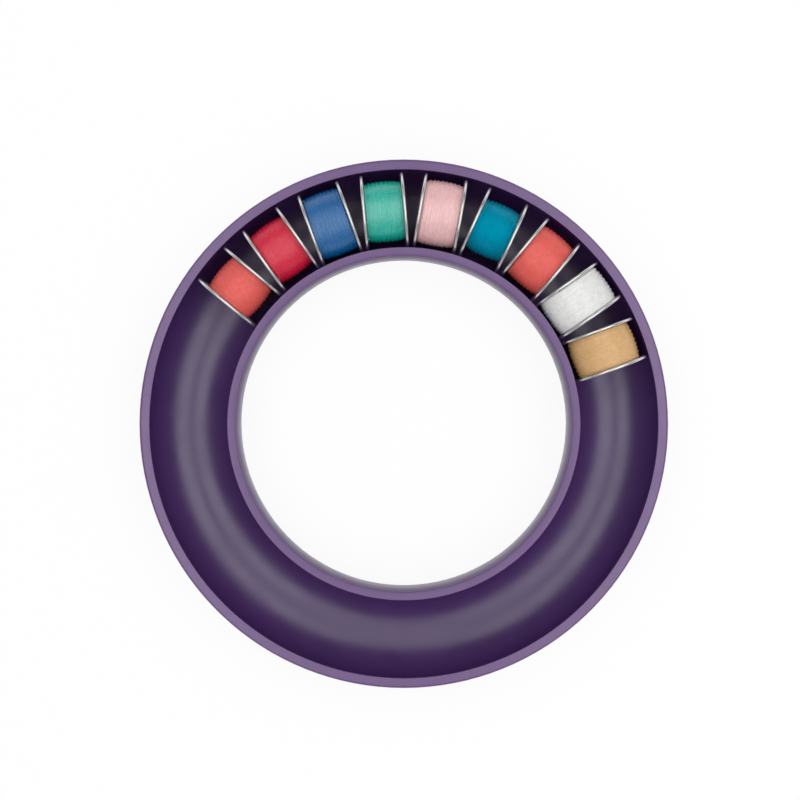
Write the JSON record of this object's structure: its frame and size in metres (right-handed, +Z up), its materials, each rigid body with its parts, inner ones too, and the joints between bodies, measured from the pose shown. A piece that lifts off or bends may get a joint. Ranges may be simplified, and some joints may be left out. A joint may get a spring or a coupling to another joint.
{
  "type": "bobbin ring",
  "caption": "Soft purple storage ring with an open channel whose lips grip wound steel sewing machine bobbins standing on edge.",
  "frame": {"origin": "centre of the ring, on the plane its foot stands on", "axes": "+Z up along the ring's axis; +Y towards the row of bobbins, as the top of the picture; +X to the picture's right"},
  "size_m": [0.143, 0.143, 0.0231],
  "materials": {
    "ring_plastic": "satin moulded soft plastic",
    "bobbin_steel": "bright nickel plated sheet steel",
    "thread_coral": "wound sewing thread with a slight sheen",
    "thread_red": "wound sewing thread with a slight sheen",
    "thread_blue": "wound sewing thread with a slight sheen",
    "thread_green": "wound sewing thread with a slight sheen",
    "thread_pink": "wound sewing thread with a slight sheen",
    "thread_teal": "wound sewing thread with a slight sheen",
    "thread_white": "wound sewing thread with a slight sheen",
    "thread_tan": "wound sewing thread with a slight sheen"
  },
  "bodies": {
    "ring": {"channel_ring": "ring_plastic"},
    "bobbin_1": {"bobbin_1_left_flange": "bobbin_steel", "bobbin_1_right_flange": "bobbin_steel", "bobbin_1_barrel": "bobbin_steel", "bobbin_1_thread": "thread_coral", "bobbin_1_open_turns": "thread_coral"},
    "bobbin_2": {"bobbin_2_left_flange": "bobbin_steel", "bobbin_2_right_flange": "bobbin_steel", "bobbin_2_barrel": "bobbin_steel", "bobbin_2_thread": "thread_red", "bobbin_2_open_turns": "thread_red"},
    "bobbin_3": {"bobbin_3_left_flange": "bobbin_steel", "bobbin_3_right_flange": "bobbin_steel", "bobbin_3_barrel": "bobbin_steel", "bobbin_3_thread": "thread_blue"},
    "bobbin_4": {"bobbin_4_left_flange": "bobbin_steel", "bobbin_4_right_flange": "bobbin_steel", "bobbin_4_barrel": "bobbin_steel", "bobbin_4_thread": "thread_green", "bobbin_4_open_turns": "thread_green"},
    "bobbin_5": {"bobbin_5_left_flange": "bobbin_steel", "bobbin_5_right_flange": "bobbin_steel", "bobbin_5_barrel": "bobbin_steel", "bobbin_5_thread": "thread_pink", "bobbin_5_open_turns": "thread_pink"},
    "bobbin_6": {"bobbin_6_left_flange": "bobbin_steel", "bobbin_6_right_flange": "bobbin_steel", "bobbin_6_barrel": "bobbin_steel", "bobbin_6_thread": "thread_teal", "bobbin_6_open_turns": "thread_teal"},
    "bobbin_7": {"bobbin_7_left_flange": "bobbin_steel", "bobbin_7_right_flange": "bobbin_steel", "bobbin_7_barrel": "bobbin_steel", "bobbin_7_thread": "thread_coral", "bobbin_7_open_turns": "thread_coral"},
    "bobbin_8": {"bobbin_8_left_flange": "bobbin_steel", "bobbin_8_right_flange": "bobbin_steel", "bobbin_8_barrel": "bobbin_steel", "bobbin_8_thread": "thread_white", "bobbin_8_open_turns": "thread_white"},
    "bobbin_9": {"bobbin_9_left_flange": "bobbin_steel", "bobbin_9_right_flange": "bobbin_steel", "bobbin_9_barrel": "bobbin_steel", "bobbin_9_thread": "thread_tan", "bobbin_9_open_turns": "thread_tan"}
  },
  "joints": [
    {"name": "bobbin_1_lift", "type": "slide", "parent": "ring", "child": "bobbin_1", "axis": [0, 0, 1], "range_m": [0, 0.025]},
    {"name": "bobbin_2_lift", "type": "slide", "parent": "ring", "child": "bobbin_2", "axis": [0, 0, 1], "range_m": [0, 0.025]},
    {"name": "bobbin_3_lift", "type": "slide", "parent": "ring", "child": "bobbin_3", "axis": [0, 0, 1], "range_m": [0, 0.025]},
    {"name": "bobbin_4_lift", "type": "slide", "parent": "ring", "child": "bobbin_4", "axis": [0, 0, 1], "range_m": [0, 0.025]},
    {"name": "bobbin_5_lift", "type": "slide", "parent": "ring", "child": "bobbin_5", "axis": [0, 0, 1], "range_m": [0, 0.025]},
    {"name": "bobbin_6_lift", "type": "slide", "parent": "ring", "child": "bobbin_6", "axis": [0, 0, 1], "range_m": [0, 0.025]},
    {"name": "bobbin_7_lift", "type": "slide", "parent": "ring", "child": "bobbin_7", "axis": [0, 0, 1], "range_m": [0, 0.025]},
    {"name": "bobbin_8_lift", "type": "slide", "parent": "ring", "child": "bobbin_8", "axis": [0, 0, 1], "range_m": [0, 0.025]},
    {"name": "bobbin_9_lift", "type": "slide", "parent": "ring", "child": "bobbin_9", "axis": [0, 0, 1], "range_m": [0, 0.025]}
  ]
}
